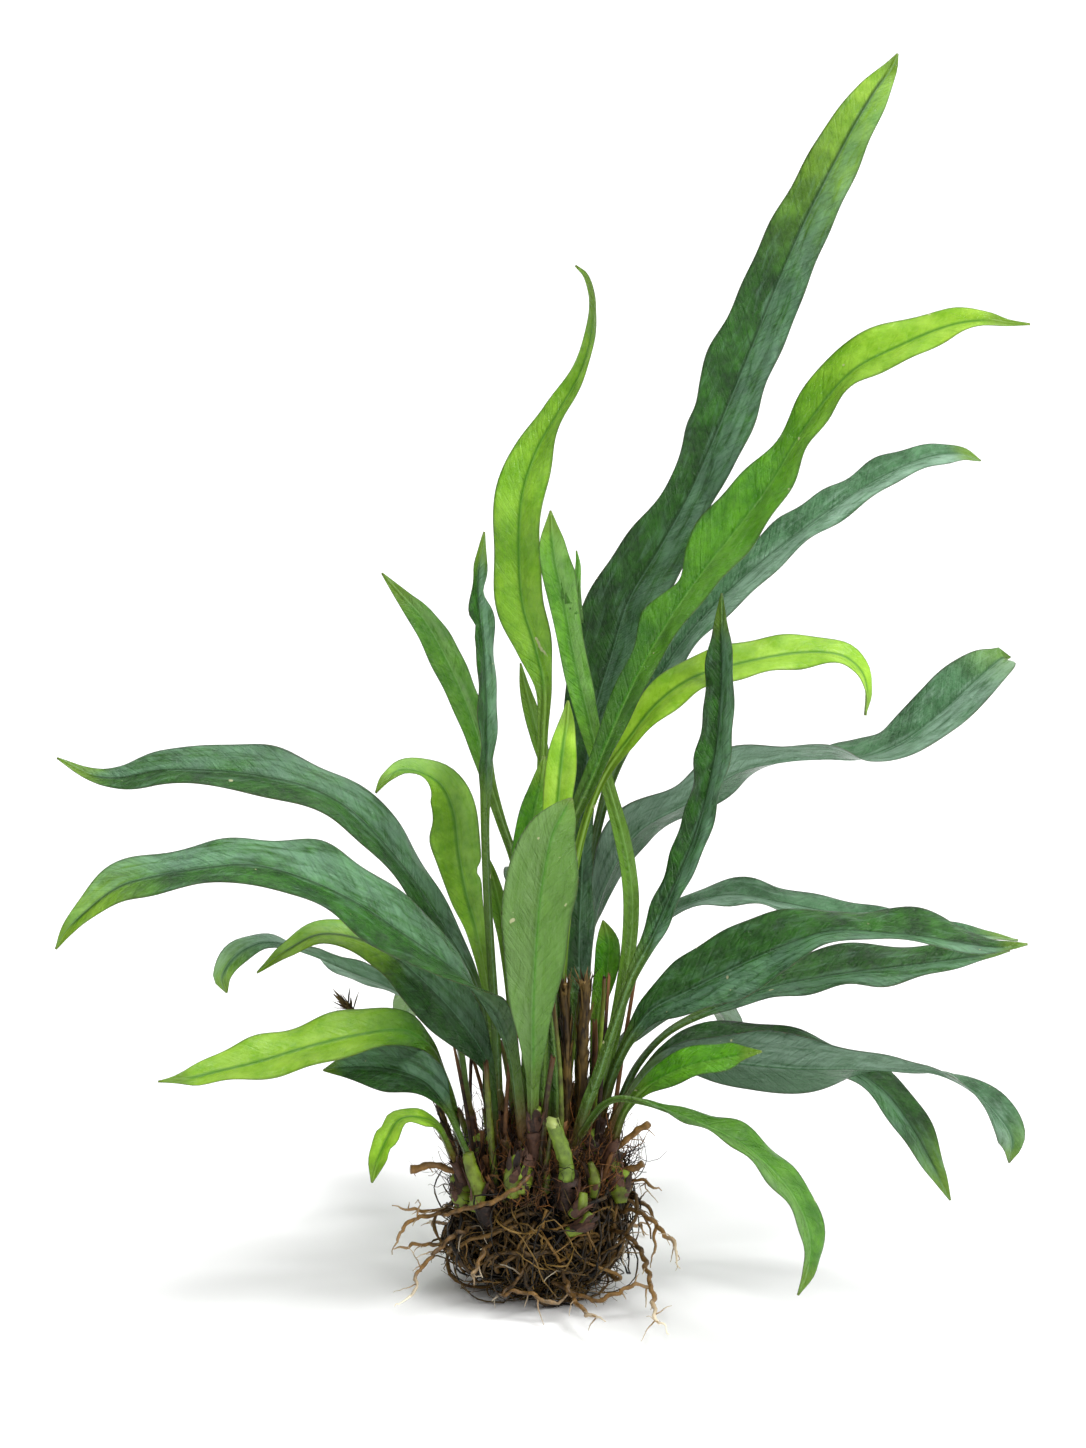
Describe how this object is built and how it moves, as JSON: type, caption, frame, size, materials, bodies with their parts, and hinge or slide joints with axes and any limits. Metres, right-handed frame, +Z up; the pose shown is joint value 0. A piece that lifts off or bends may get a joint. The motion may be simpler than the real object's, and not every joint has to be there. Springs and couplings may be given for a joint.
{
  "type": "blue oil fern",
  "caption": "Bare-rooted fern with strap-shaped arching fronds, standing on a ball of wiry roots.",
  "frame": {"origin": "centre of the flat face under the root ball, on which the plant rests", "axes": "+Z up through the crown, -Y to the front of the plant, +X to its right as seen from the front"},
  "size_m": [0.3989, 0.2583, 0.5012],
  "materials": {
    "leaf_mature": "satin",
    "leaf_mid": "satin",
    "leaf_lime": "satin",
    "leaf_grey": "satin",
    "root_mass": "matte",
    "root": "matte",
    "rhizome": "matte",
    "cut_stalk": "satin",
    "dried_stalk": "matte"
  },
  "bodies": {
    "root": {"cut_stalk_lime": "cut_stalk", "dried_stalk_left": "dried_stalk", "frond_back_left": "leaf_mid", "frond_back_middle": "leaf_mature", "frond_back_right": "leaf_mature", "frond_folded_tip": "leaf_mid", "frond_forked_tip": "leaf_mid", "frond_front": "leaf_mid", "frond_grey_reach": "leaf_grey", "frond_left_curled": "leaf_lime", "frond_left_drooping": "leaf_grey", "frond_left_lime": "leaf_lime", "frond_left_lime_tip": "leaf_mature", "frond_left_long": "leaf_mature", "frond_left_low": "leaf_mature", "frond_left_narrow": "leaf_mid", "frond_left_top": "leaf_mature", "frond_lime_arch": "leaf_lime", "frond_lime_short": "leaf_lime", "frond_notched": "leaf_mature", "frond_right_broad": "leaf_mature", "frond_right_drooping": "leaf_mature", "frond_right_low_arch": "leaf_mid", "frond_right_pale": "leaf_grey", "frond_right_short": "leaf_lime", "frond_right_under": "leaf_mature", "frond_s_curve": "leaf_lime", "frond_side_on": "leaf_mature", "frond_slip": "leaf_mid", "frond_sliver": "leaf_lime", "frond_tall": "leaf_mature", "frond_thin_arch": "leaf_grey", "frond_twisted": "leaf_grey", "frond_yellow_arch": "leaf_lime", "frond_yellow_short": "leaf_lime", "frond_young": "leaf_lime", "old_stalk_brown": "dried_stalk", "old_stalk_tan": "dried_stalk", "rhizome_back_left": "rhizome", "rhizome_back_right": "rhizome", "rhizome_front": "rhizome", "rhizome_left": "rhizome", "rhizome_right": "rhizome", "root_back_left": "root", "root_back_middle": "root", "root_back_right": "root", "root_ball": "root_mass", "root_front_down": "root", "root_front_long": "root", "root_front_loop": "root", "root_front_right": "root", "root_left_hook": "root", "root_left_long": "root", "root_left_return": "root", "root_left_upper": "root", "root_right_fork": "root", "root_right_long": "root", "root_right_short": "root", "root_right_upper": "root"}
  },
  "joints": []
}
